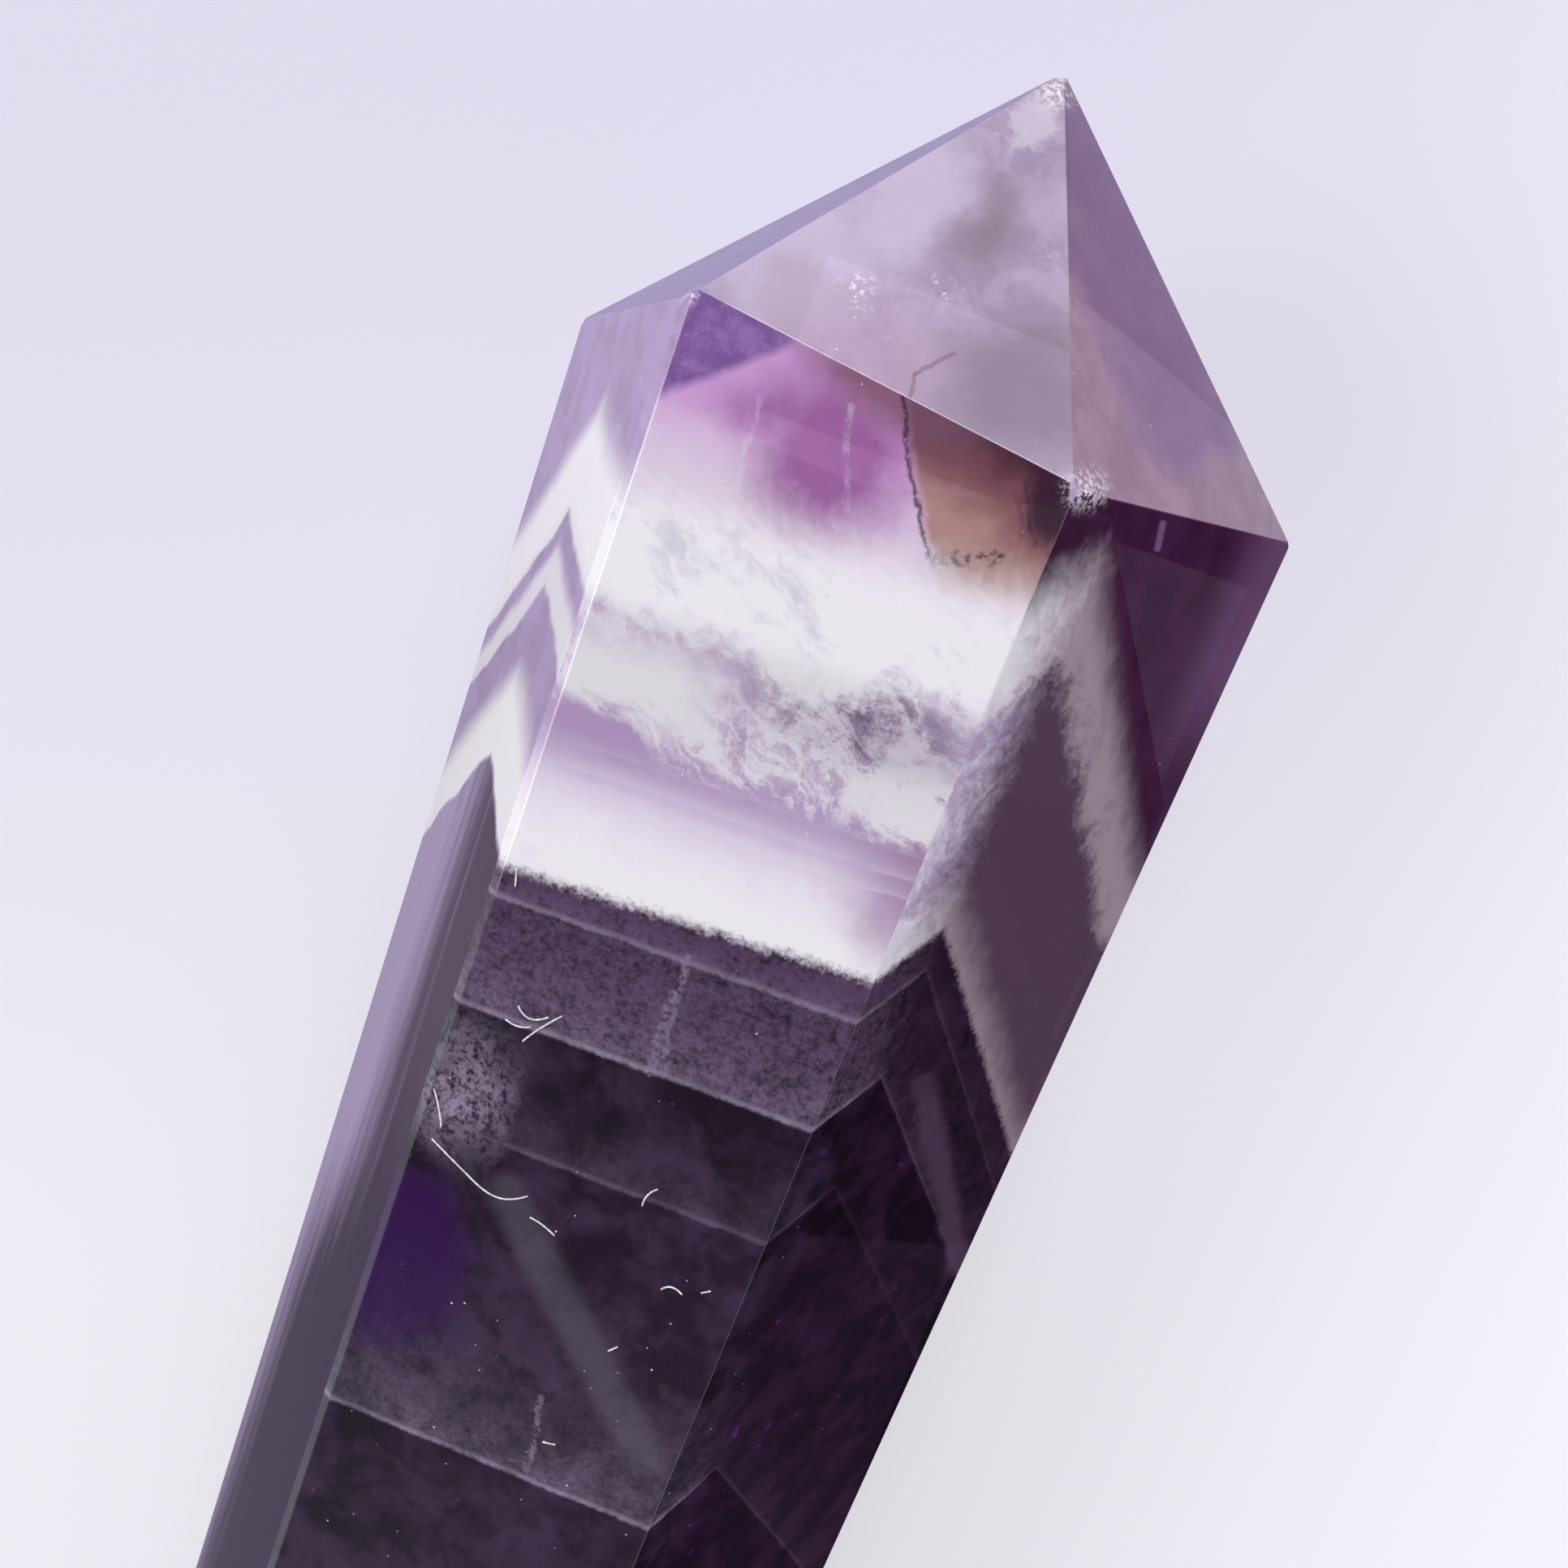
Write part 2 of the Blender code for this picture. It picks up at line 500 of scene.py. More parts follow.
END_PAINTED_SHADE = (0.145, 0.06, 0.20)
END_BLUE = (0.22, 0.15, 0.40)
END_BLUE_PALE = (0.31, 0.245, 0.50)


# %% [markdown]
# ## Where the pattern's irregularity comes from
#
# Nothing in a crystal is drawn with a ruler. Six noises are shared by every zone: soft clouds, a
# mottle, threads drawn out in two directions, a slow drift and a fine grain. Each zone uses them in
# two ways, to push its borders about and to vary its colour. Because the noises are shared, a thread
# that ruffles a border goes on as a streak of colour next to it, as it does in the stone.

# %% Skin: the irregular fields
WAVE = 0.7


class Fields:
    """What every zone of the stone reads: the point, its growth height and the shared noises."""

    def __init__(self, bench):
        self.where, self.across, self.along, self.up = bench.place()
        self.height = growth_height(bench, self.across, self.along, self.up)
        self.pushed = bench.vector_math("ADD", self.where, bench.shifts(self.where, 0.45, 4.0, 2.2))
        split = bench.node("SeparateXYZ", Vector=self.pushed)
        self.x, self.y, self.z = (Value(bench, socket) for socket in split.outputs)
        self.clouds = bench.noise(self.pushed, 0.55, 7.0, 0.62)
        self.mottle = bench.noise(self.where, 1.6, 6.0, 0.70)
        self.strands = self.threads(bench, -25.0, 2.4, 0.34)
        self.cross_strands = self.threads(bench, -72.0, 2.0, 0.30)
        self.drift = bench.noise(self.where, 0.25, 2.0, 0.5)
        self.grain = bench.noise(self.where, 5.0, 4.0, 0.75)
        self.wavy = bench.vector_math("MULTIPLY_ADD", self.clouds, (WAVE, 0.0, 0.0), self.where)
        self.cloudy = self.mottle * 0.4 + self.clouds * 0.35 + self.strands * 0.25

    def threads(self, bench, turn, length, width):
        """Noise drawn out into threads that run this many degrees from the X axis, seen from above."""
        c, s = math.cos(math.radians(turn)), math.sin(math.radians(turn))
        lengthways = (self.x * c + self.y * s) / length
        sideways = (self.y * c - self.x * s) / width
        drawn = bench.node("CombineXYZ", X=lengthways, Y=sideways, Z=self.z / width)
        return bench.noise(Value(bench, drawn.outputs[0]), 1.0, 5.0, 0.62)


def centred(noise, reach):
    """A noise as an irregular push, from about -reach/2 to reach/2."""
    return noise.bench.math("MULTIPLY_ADD", noise, reach, -0.5 * reach)


def wavy_streak(bench, f, route, half_width):
    """A streak with wavering sides. The wave pushes one way only, so half of it is taken back."""
    start, end = ((across + WAVE / 2, along) for across, along in route)
    return bench.streak(f.wavy, start, end, half_width)


# %% [markdown]
# ## The zones, from the near end to the far end
#
# Pink and magenta quartz comes first, with a brown stain behind a healed crack. Then come the first
# milky layer, a mottled zone with white wisps, a clear lavender zone with fine growth lines, and the
# second milky layer. All the rest is deep violet quartz. In it each pause in growth left a frosted
# line, sharp on the side towards the far end, with a mist of bubbles that thins out above it.

# %% Skin: the zones
# Routes of fine marks seen from above, in millimetres.
RIBBONS = (((-2.9, 31.0), (-2.5, 27.6)), ((-0.6, 31.6), (0.5, 28.4)))
SCARS = (((0.55, 12.0), (0.45, 14.6)), ((0.45, 15.9), (0.9, 12.2)), ((1.35, -2.4), (0.95, 0.3)))
# Place and size of each knocked corner.
KNOCKS = (((5.75, 31.75), (0.8, 0.8)), ((-5.5, 32.8), (0.4, 0.4)), ((0.45, 41.3), (0.9, 0.9)))
# Growth height and strength of each fine line in the clear quartz.
FINE_LINES = ((19.45, 0.30), (20.0, 0.34), (20.7, 0.16))


def first_milky_layer(bench, f):
    """How milky the first layer is: lumpy and feathered below, thinning out softly above."""
    lump = bench.smooth(bench.math("ABSOLUTE", f.across - 0.5), 2.6, 0.0)
    rise = bench.smooth(f.across, 2.0, 6.0)
    under = f.height + lump * 0.9 - rise * 0.5 - 24.75
    for noise, reach in ((f.clouds, 2.2), (f.strands, 1.5), (f.mottle, 0.9), (f.grain, 0.5)):
        under = under + centred(noise, reach)
    over = f.height + centred(f.clouds, 1.8) + centred(f.cross_strands, 0.9)
    return bench.smooth(under, -0.65, 0.75), bench.smooth(over, 29.3, 26.9)


def upper_zone(bench, f):
    """Pink to magenta quartz above the first milky layer, with a brown stain behind a crack."""
    colour = bench.blend(bench.smooth(f.y, 28.1, 31.2), PINK_WHITE, LILAC_PINK)
    beside = bench.blob(f.pushed, (-2.0, 30.6), (2.8, 1.7)) * 0.7
    glow = bench.higher(bench.blob(f.pushed, (-0.5, 30.2), (3.3, 3.3)), beside)
    glow = bench.lower(glow * 1.25 + centred(f.cross_strands, 0.35) * bench.smooth(glow, 0.0, 0.3), 1.0)
    colour = bench.blend(glow, colour, MAGENTA)
    brow = bench.smooth(f.y + f.x * 0.15, 31.0, 32.3) * bench.smooth(f.x, -3.2, -0.8)
    colour = bench.blend(brow * 0.85, colour, MAUVE)
    # Painted reflection: a violet triangle just under the end facet's edge stands in for the dark
    # quartz that the facets beyond mirror inside the stone.
    corner = f.along - f.across * 0.83 + centred(f.clouds, 0.35)
    corner = bench.smooth(corner, 34.38, 34.85) * bench.smooth(f.x, -0.9, -3.4)
    violet = bench.blend(bench.smooth(f.mottle, 0.4, 0.62), PAINTED_REFLECTION_DARK, PAINTED_REFLECTION_PALE)
    colour = bench.blend(corner, colour, violet)
    past_crack = f.across + (f.along - 32.08) * 0.58 - 0.68 + centred(f.clouds, 1.0)
    under_edge = 32.55 - f.across * 0.12 - f.y
    deep_brown = bench.blend(bench.smooth(f.x, 1.5, 3.8), MAUVE_BROWN, BROWN)
    stain = bench.blend(bench.smooth(under_edge, 0.3, 1.4), deep_brown, ORANGE)
    stain = bench.blend(bench.smooth(under_edge - f.across * 0.12, 0.7, 2.3), stain, PEACH)
    reach = bench.smooth(under_edge + centred(f.mottle, 1.0), 4.3, 2.9)
    colour = bench.blend(bench.smooth(past_crack, -0.1, 0.35) * reach, colour, stain)
    spot = bench.blob(f.where, (5.3, 31.2), (1.5, 1.9))
    spot = spot + centred(f.cross_strands, 0.9) + centred(f.mottle, 0.6)
    colour = bench.blend(bench.smooth(spot, 0.10, 0.70), colour, PLUM)
    crack = bench.line(past_crack, 0.0, 0.14) * bench.smooth(f.along, 28.3, 29.0)
    crumbs = bench.streak(f.pushed, (3.2, 29.0), (4.3, 29.6), 0.22) * bench.smooth(f.grain, 0.45, 0.6)
    crack = bench.higher(crack * bench.smooth(f.grain, 0.3, 0.5), crumbs)
    for route in RIBBONS:
        ribbon = wavy_streak(bench, f, route, 0.13)
        colour = bench.blend(ribbon * bench.smooth(f.mottle, 0.38, 0.6) * 0.3, colour, WHITE)
    return bench.blend(crack * 0.85, colour, PLUM)


def mottled_zone(bench, f):
    """Between the milky layers: mottled quartz above, clear lavender with fine growth lines below."""
    colour = bench.blend(bench.smooth(f.cloudy, 0.38, 0.60), MOTTLE_DARK, MOTTLE_LIGHT)
    level = f.height + centred(f.drift, 0.5) + centred(f.grain, 0.05)
    pale = bench.smooth(f.height + centred(f.clouds, 0.8), 21.3, 19.2)
    clear = bench.blend(pale, PURPLE_STRIP, LAVENDER)
    clear = bench.blend(bench.smooth(f.x, 2.4, 6.0) * 0.8, clear, MAUVE_LAVENDER)
    for fine_line, strength in FINE_LINES:
        step = level - fine_line
        line = bench.smooth(step, -0.03, 0.03, strength) * bench.fade(step, 0.22)
        clear = bench.blend(line * bench.smooth(f.clouds, 0.35, 0.55), clear, WHITE)
    under = f.height - bench.smooth(f.across, -2.0, -4.0) * 0.9
    under = under + centred(f.strands, 1.2) + centred(f.mottle, 0.8)
    return bench.blend(bench.smooth(under, 21.6, 20.8), colour, clear)


def wisps(bench, f, colour):
    """Over the mottled quartz lie a grey shade, white threads and thick white banks."""
    shade = bench.blob(f.where, (2.6, 24.0), (5.4, 2.3))
    shade = shade + centred(f.clouds, 1.4) + centred(f.mottle, 1.0)
    shade = bench.smooth(shade, 0.0, 0.8) * (bench.smooth(f.cloudy, 0.56, 0.42) * 0.7 + 0.3)
    colour = bench.blend(shade * 0.9, colour, SHADE)
    at = f.height + centred(f.strands, 1.6) + centred(f.mottle, 1.0)
    curtain = bench.smooth(at, 20.8, 21.5) * bench.smooth(at, 23.8, 22.2)
    curtain = curtain * bench.smooth(f.x, -3.2, -1.2)
    bank = bench.smooth(f.x, 1.6, 4.2)
    threads = bench.smooth(f.strands, 0.50, 0.60)
    threads = bench.higher(threads, bench.smooth(f.cross_strands, 0.53, 0.63))
    threads = bench.higher(threads, bench.smooth(f.cloudy + bank * 0.12, 0.50, 0.60))
    colour = bench.blend(curtain * threads * (bank * 0.25 + 0.65), colour, WHITE)
    puff = f.height + centred(f.clouds, 1.8) + centred(f.strands, 1.2)
    left_bank = bench.smooth(puff, 21.7, 22.5) * bench.smooth(puff, 24.8, 23.0)
    left_bank = left_bank * bench.smooth(f.x, -0.4, -2.6)
    return bench.blend(left_bank * bench.smooth(f.cloudy, 0.20, 0.38), colour, WHITE)


def second_milky_layer(bench, f):
    """How milky the second layer is: a crisp speckled underside, and a long soft fade above."""
    over = f.height + centred(f.clouds, 1.6) + centred(f.cross_strands, 0.8)
    fade = bench.smooth(over + bench.smooth(f.x, 3.2, 6.2), 20.2, 17.4)
    worn = bench.smooth(f.x, -3.0, -5.4) * bench.smooth(f.height, 17.9, 17.0)
    speckled = bench.smooth(f.mottle, 0.44, 0.60) * worn
    return fade * (1.0 - speckled * 0.55)


def dark_below(bench, f):
    """1 in the deep violet quartz under the second milky layer."""
    level = f.height - f.across * 0.035 + centred(f.grain, 0.7) + centred(f.mottle, 0.35)
    return bench.smooth(level, 17.0, 16.5)


def deep_quartz(bench, f):
    return bench.blend(bench.smooth(f.clouds, 0.38, 0.68), DEEP, GREY_VIOLET)


def roughness_of_frost(bench, f):
    """How uneven a frosted place looks, from blotches and grains."""
    blotches = bench.smooth(f.mottle, 0.38, 0.62) * 0.45
    return blotches + bench.smooth(f.grain, 0.36, 0.62) * 0.6 + 0.05


def frosted(bench, f, colour, lines, mist=0.0):
    """Frosted growth lines, sharp below and fading upwards like mist, then dust."""
    level = f.height + centred(f.grain, 0.14) + centred(f.clouds, 0.22)
    ragged = roughness_of_frost(bench, f) * 0.8 + 0.25
    for line, strength, reach in lines:
        above = level - line
        veil = bench.smooth(above, -0.05, 0.06, strength * 0.52) * bench.fade(above, reach) * ragged
        mist = bench.higher(mist, veil + bench.line(above, 0.08, 0.17, strength * 0.55))
    uneven = bench.smooth(f.clouds, 0.28, 0.62) * 0.5 + 0.5
    colour = bench.blend(bench.lower(mist * uneven, 1.0), colour, FROST)
    dusty = bench.smooth(f.drift + centred(f.clouds, 0.7), 0.38, 0.60)
    specks = bench.flakes(f.where, 2.6, 0.045, 0.15)
    dust = bench.higher(specks, bench.flakes(f.pushed, 1.1, 0.085, 0.20, "MANHATTAN"))
    return bench.blend(dust * (dusty * 0.7 + 0.25), colour, DUST)


def near_dark(bench, f):
    """The part of the dark quartz nearest the milky layers, with its own marks and a painted streak of
    reflection.
    """
    colour = deep_quartz(bench, f)
    pool = bench.blob(f.where, (-4.9, 2.6), (3.6, 5.0)) + centred(f.clouds, 0.6)
    colour = bench.blend(bench.smooth(pool, 0.05, 0.55), colour, DEEP_VIOLET)
    # Painted reflection: a lighter grey diagonal band, the sheen that the polished top face mirrors.
    sheet = bench.streak(f.where, (-2.2, 6.3), (4.6, 0.0), 1.0)
    colour = bench.blend(sheet * (bench.smooth(f.clouds, 0.3, 0.6) * 0.3 + 0.4), colour, PAINTED_REFLECTION_GREY)
    rough = roughness_of_frost(bench, f)
    colour = bench.blend(bench.smooth(f.height, 11.9, 12.3) * rough, colour, GRAINY)
    colour = bench.blend(bench.smooth(f.height, 15.5, 15.7) * rough, colour, UNDER_MILK)
    patch = bench.blob(f.pushed, (-4.6, 9.0), (3.0, 3.2)) * bench.smooth(f.across, -2.4, -3.1)
    mist = patch * bench.smooth(f.cross_strands * 0.5 + f.grain * 0.5, 0.38, 0.55) * 1.1
    for route in SCARS:
        scar = wavy_streak(bench, f, route, 0.17)
        colour = bench.blend(scar * bench.smooth(f.grain, 0.36, 0.6) * 0.45, colour, FROST)
    return frosted(bench, f, colour, NEAR_FROST_LINES, mist)


def far_dark(bench, f):
    """The far half of the stone, where the dark quartz slowly turns to an even violet."""
    colour = frosted(bench, f, deep_quartz(bench, f), FAR_FROST_LINES)
    far = bench.smooth(f.height + centred(f.clouds, 6.0), -13.0, -34.0)
    return bench.blend(far * 0.8, colour, FAR_VIOLET)


def stony(bench, colour):
    """Quartz that sends light back from just under its polished skin."""
    return bench.principled(Base_Color=colour, Roughness=POLISH, IOR=QUARTZ_IOR)


def lower_zone(bench, f, seen_through=None):
    """All the dark quartz. seen_through changes its colour for a facet."""
    shares = []
    for part in (near_dark, far_dark):
        colour = part(bench, f)
        shares.append(stony(bench, seen_through(colour) if seen_through else colour))
    return bench.mix_shaders(bench.smooth(f.height, -5.5, -7.5), *shares)


def banded(bench, f, upper, middle, lower, tint=None):
    """The growth zones one under another: two colours, then the finish of the dark quartz."""
    from_below, from_above = first_milky_layer(bench, f)
    milk = bench.blend(bench.smooth(f.clouds * 0.6 + f.strands * 0.4, 0.34, 0.52), MILKY_SHADE, WHITE)
    white = WHITE
    if tint is not None:
        milk = bench.blend(1.0, milk, tint, "MULTIPLY")
        white = bench.blend(1.0, WHITE, tint, "MULTIPLY")
    above = stony(bench, bench.blend(from_above, upper, milk))
    between = stony(bench, bench.blend(second_milky_layer(bench, f), middle, white))
    light_zones = bench.mix_shaders(from_below, between, above)
    return bench.mix_shaders(dark_below(bench, f), light_zones, lower)


def bruised(bench, f, colour):
    """White crumbs where a corner has been knocked, and the flaws as well."""
    bruise = bench.blobs(f.where, *KNOCKS) * bench.smooth(f.up, 8.0, 9.0)
    colour = bench.blend(bruise * bench.smooth(f.grain, 0.44, 0.58), colour, BRUISE)
    return flawed(bench, f, colour)


def flawed(bench, f, colour):
    """Small bright flaws under the skin, with painted sparkles of the light that they catch."""
    sparks = bench.flakes(f.where, 0.7, 0.085, 0.30, "MANHATTAN") * bench.smooth(f.clouds, 0.45, 0.55)
    sparks = bench.higher(sparks, bench.flakes(f.where, 2.1, 0.04, 0.16))
    return bench.blend(sparks * 0.6, colour, SPARK)


# %% [markdown]
# ## The facets
#
# The zones are the same all round the stone, but each facet shows them through another depth of
# quartz. The top face looks straight down on them. Under the right face lies deep violet quartz,
# which leaves only a tinted ghost of the milky layers. The left face is seen at such a low slant
# that the layers close up to clean stripes. The end facets look along the stone, into haze.

# %% Skin: the facets
# Stripes of the left face: growth height from and to, softness of the upper border, strength.
LEFT_STRIPES = ((24.7, 28.0, 0.9, 1.0), (22.3, 23.7, 0.45, 0.85), (16.7, 19.6, 0.9, 1.0))
HAIRS = (((0.75, 32.2), (0.6, 32.9)), ((0.6, 32.9), (1.3, 33.7)))


def top_face(bench, f):
    """The broad top face shows every zone at its clearest."""
    upper = bruised(bench, f, upper_zone(bench, f))
    middle = flawed(bench, f, wisps(bench, f, mottled_zone(bench, f)))
    return banded(bench, f, upper, middle, lower_zone(bench, f))


def right_face(bench, f):
    """Deep violet quartz lies under the right face and swallows most of what the layers send back."""
    inwards = bench.smooth(f.up + centred(f.strands, 2.0), 20.8, 18.2)
    rim = bench.smooth(f.up + centred(f.clouds, 2.5), 13.2, 10.0) * bench.smooth(f.along, 23.0, 28.0)
    plum = bench.blend(bench.smooth(f.clouds, 0.38, 0.66), RIGHT_PLUM, RIGHT_PLUM_PALE)
    plum = bench.blend(rim * 0.7, plum, RIGHT_RIM)
    patch = bench.blob(f.pushed, (6.6, 29.8), (0.9, 0.9)) * bench.smooth(f.mottle, 0.4, 0.6)
    plum = bench.blend(patch * 0.7, plum, RIGHT_PATCH)
    flake = bench.streak(f.where, (7.95, 31.45), (8.1, 30.75), 0.13)
    plum = bruised(bench, f, bench.blend(flake * 0.8, plum, RIGHT_FLAKE))
    cloudy = bench.smooth(f.mottle * 0.4 + f.clouds * 0.6, 0.40, 0.60)
    middle = bench.blend(cloudy, MOTTLE_DARK, MOTTLE_LIGHT)
    middle = bench.blend(inwards, middle, RIGHT_BETWEEN)

    def sunk(colour):
        """The dark quartz as the right face shows it."""
        depths = bench.blend(bench.smooth(f.clouds, 0.42, 0.66), RIGHT_DEEP, RIGHT_DEEP_PALE)
        deep = bench.blend(0.55, bench.blend(1.0, colour, RIGHT_TINT, "MULTIPLY"), depths)
        veil = bench.streak(f.wavy, (8.3, 13.4), (12.3, 4.1), 0.45) * bench.smooth(f.along, 15.0, 12.0)
        deep = bench.blend(veil * 0.6, deep, RIGHT_VEIL)
        glint = bench.flakes(f.pushed, 1.0, 0.28, 0.6, "MANHATTAN") * bench.smooth(f.clouds, 0.42, 0.56)
        deep = bench.blend(glint * bench.smooth(f.up, 13.0, 20.0) * 0.75, deep, VIOLET_GLINT)
        return bench.blend(inwards, colour, deep)

    tint = bench.blend(inwards, (1.0, 1.0, 1.0), RIGHT_TINT)
    return banded(bench, f, plum, middle, lower_zone(bench, f, sunk), tint)


def left_face(bench, f):
    """Seen at a low slant, the left face shows clean stripes, milky white and violet by turns; below
    them, painted sheen lightens the dark quartz towards the outer edge.
    """
    level = f.height + centred(f.drift, 1.4) + centred(f.clouds, 0.5)
    colour = bench.blend(bench.smooth(f.clouds, 0.36, 0.64), LEFT_STRIPE, LEFT_VIOLET)
    for low, high, soft, strength in LEFT_STRIPES:
        stripe = bench.smooth(level, low - 0.12, low + 0.25, strength)
        stripe = stripe * bench.smooth(level, high + soft, high - soft)
        colour = bench.blend(stripe, colour, LEFT_WHITE)
    # Painted sheen: lighter streaks towards the face's outer edge stand in for the bright room that the
    # slanted face mirrors.
    drawn = bench.noise(bench.stretched(f.where, (2.2, 0.12, 2.2)), 0.5, 4.0, 0.6)
    outward = f.up + centred(drawn, 7.0) + bench.smooth(f.along, 4.0, -8.0) * 5.0
    inner = bench.blend(bench.smooth(f.along, 11.0, 2.0), LEFT_INNER, LEFT_INNER_DEEP)
    shade = stony(bench, bench.blend(bench.smooth(outward, 18.6, 12.5), inner, LEFT_PAINTED_SHEEN))
    striped = stony(bench, bruised(bench, f, colour))
    return bench.mix_shaders(bench.smooth(level, 16.9, 16.5), striped, shade)


def end_top_facet(bench, f):
    """Haze with a pale side of painted reflection, a pink one and a greenish grey one."""
    veiled = f.clouds * 0.7 + f.cross_strands * 0.3
    colour = bench.blend(bench.smooth(veiled, 0.36, 0.64), END_HAZE, END_HAZE_PALE)
    # Painted reflection: the left half of the facet is paler where it mirrors bright light.
    painted_reflection = bench.blobs(f.pushed, ((-3.6, 34.6), (4.0, 3.0)), ((-1.8, 36.9), (2.6, 3.6)))
    colour = bench.blend(bench.smooth(painted_reflection, 0.0, 0.8) * 0.85, colour, END_PAINTED_REFLECTION)
    pink = bench.streak(f.pushed, (-3.0, 33.6), (1.2, 33.2), 1.4)
    colour = bench.blend(pink * 0.5, colour, END_PINK)
    grey = bench.blob(f.pushed, (0.6, 37.2), (1.5, 2.6)) * 0.7
    grey = bench.higher(bench.blob(f.pushed, (3.3, 33.4), (3.9, 3.4)), grey)
    grey = bench.smooth(grey + centred(f.clouds, 0.5) + centred(f.cross_strands, 0.3), 0.0, 0.85)
    colour = bench.blend(grey * 0.9, colour, END_GREY)
    tip = bench.blob(f.where, (0.3, 40.2), (1.3, 1.5)) + centred(f.mottle, 1.0)
    tip = bench.smooth(tip + centred(f.strands, 1.0), 0.25, 0.75)
    colour = bench.blend(tip * 0.55, colour, END_TIP)
    # Painted sparkles: two small clusters of bright specks on the facet.
    painted_sparkles = bench.blobs(f.pushed, ((0.2, 35.2), (0.7, 0.5)), ((-1.7, 34.2), (0.9, 0.5)))
    painted_sparkles = painted_sparkles * bench.smooth(f.grain + f.strands * 0.4, 0.74, 0.82)
    colour = bench.blend(painted_sparkles * 0.9, colour, BRUISE)
    for route in HAIRS:
        colour = bench.blend(wavy_streak(bench, f, route, 0.09) * 0.6, colour, MAUVE_BROWN)
    return stony(bench, bruised(bench, f, colour))


def end_right_facet(bench, f):
    """Mauve haze, with painted shade along the edge that it shares with the top facet."""
    colour = bench.blend(bench.smooth(f.clouds, 0.38, 0.64), END_MAUVE, END_MAUVE_PALE)
    # Painted shade: darker along the upper edge, where the facet mirrors less of the bright light than
    # lower down.
    painted_shade = bench.streak(f.pushed, (1.4, 40.2), (7.6, 34.2), 2.0)
    return stony(bench, bruised(bench, f, bench.blend(painted_shade * 0.7, colour, END_PAINTED_SHADE)))


def end_left_facet(bench, f):
    """An even haze of blue violet."""
    colour = bench.blend(bench.smooth(f.clouds, 0.26, 0.74), END_BLUE, END_BLUE_PALE)
    return stony(bench, bruised(bench, f, colour))


def lower_faces(bench, f):
    """The faces underneath and at the far end, which the same zones cross."""
    upper = bench.blend(bench.smooth(f.clouds, 0.28, 0.72), OUTER_LILAC, OUTER_PALE)
    return banded(bench, f, upper, mottled_zone(bench, f), lower_zone(bench, f))


# %% [markdown]
# ## Putting the skin together
#
# Every facet gets its own stony finish, chosen by the way the face looks. Over them all goes one
# share of glassy quartz: a fifth where the quartz is clear, and far less where it is milky or dark.
# Inside, the quartz absorbs green most and violet least, which is what makes thick amethyst deep.

# %% Skin: everything together
CLEAR_TINT = (0.97, 0.93, 0.98)
DARK_TINT = (0.20, 0.08, 0.28)
ABSORBED = (0.40, 0.13, 0.48)
ABSORPTION = 40.0
CLEAR_SHARE = 0.20
MILKY_SHARE = 0.05
FACETS = (
    (top_face, TOP), (right_face, RIGHT), (left_face, LEFT),
    (end_top_facet, END_TOP), (end_right_facet, END_RIGHT), (end_left_facet, END_LEFT),
)


def amethyst_skin():
    """Glassy quartz with a stony share just under the skin, over one absorbing inside."""
    bench = Bench(bpy.data.materials.new("amethyst_skin"))
    f = Fields(bench)
    under_skin = lower_faces(bench, f)
    for facet, way in FACETS:
        under_skin = bench.mix_shaders(bench.facing(way), under_skin, facet(bench, f))
    dark = bench.smooth(f.height, 17.0, 16.4)
    first = bench.smooth(f.height, 24.4, 25.4) * bench.smooth(f.height, 29.0, 27.4)
    hides_well = bench.higher(bench.higher(dark, first), bench.smooth(f.height, 20.4, 18.4))
    sides = bench.higher(bench.facing(RIGHT) * 0.9, bench.facing(LEFT) * 0.6)
    hides_well = bench.higher(hides_well, sides)
    dense = hides_well * (CLEAR_SHARE - MILKY_SHARE) + (1.0 - CLEAR_SHARE)
    tint = bench.blend(dark, CLEAR_TINT, DARK_TINT)
    glassy = bench.principled(
        Base_Color=tint, Roughness=POLISH, IOR=QUARTZ_IOR, Transmission_Weight=1.0
    )
    inside = bench.shader("VolumeAbsorption", Color=(*ABSORBED, 1.0), Density=ABSORPTION)
    print("steps in the skin's finish:", len(bench.tree.nodes))
    return bench.finish(bench.mix_shaders(dense, glassy, under_skin), inside)


body.data.materials.append(amethyst_skin())

# %% [markdown]
# ## Milky quartz
#
# Milky quartz is not a pigment. It is clear quartz full of bubbles too small to see, and each of
# them scatters light. From outside it reads as soft white with a curdled pattern, quite dull, so it
# needs no gloss of its own: the gloss belongs to the polished skin above it. The layers are cut
# here with this finish, and they lie 0.35 mm under the skin, so that the skin's own pattern covers
# their edges.

# %% Milky quartz inside
CURD_DIM = (0.62, 0.57, 0.68)
CURD_BRIGHT = (0.88, 0.87, 0.90)


def milky_quartz():
    """Soft curdled white without a gloss of its own."""
    bench = Bench(bpy.data.materials.new("milky_quartz"))
    curdle = bench.noise(bench.place()[0], 0.7, 5.0, 0.6, 0.5)
    colour = bench.blend(bench.smooth(curdle, 0.3, 0.7), CURD_DIM, CURD_BRIGHT)
    return bench.finish(bench.principled(Base_Color=colour, Roughness=0.6, IOR=1.0))


milk = milky_quartz()
growth_layer("milky_layer_one", *MILKY_ONE, UNDER_SKIN, milk)
growth_layer("milky_layer_two", *MILKY_TWO, UNDER_SKIN, milk)

# %% [markdown]
# ## Lint
#
# A stone that is handled picks up dust. A few cotton fibres, thinner than a hair and a few
# millimetres long, lie on the polished top face. They are modelled as fine bent tubes that touch
# the face, because a fibre stands out from the stone and catches light along its length.

# %% Lint on the top face
FIBRE_RADIUS = 0.028
CURL = 0.12
LINT_SEED = 7
LINT_PAINTED_SHADE = (0.52, 0.47, 0.50)
LINT_PAINTED_LIGHT = (0.84, 0.82, 0.84)
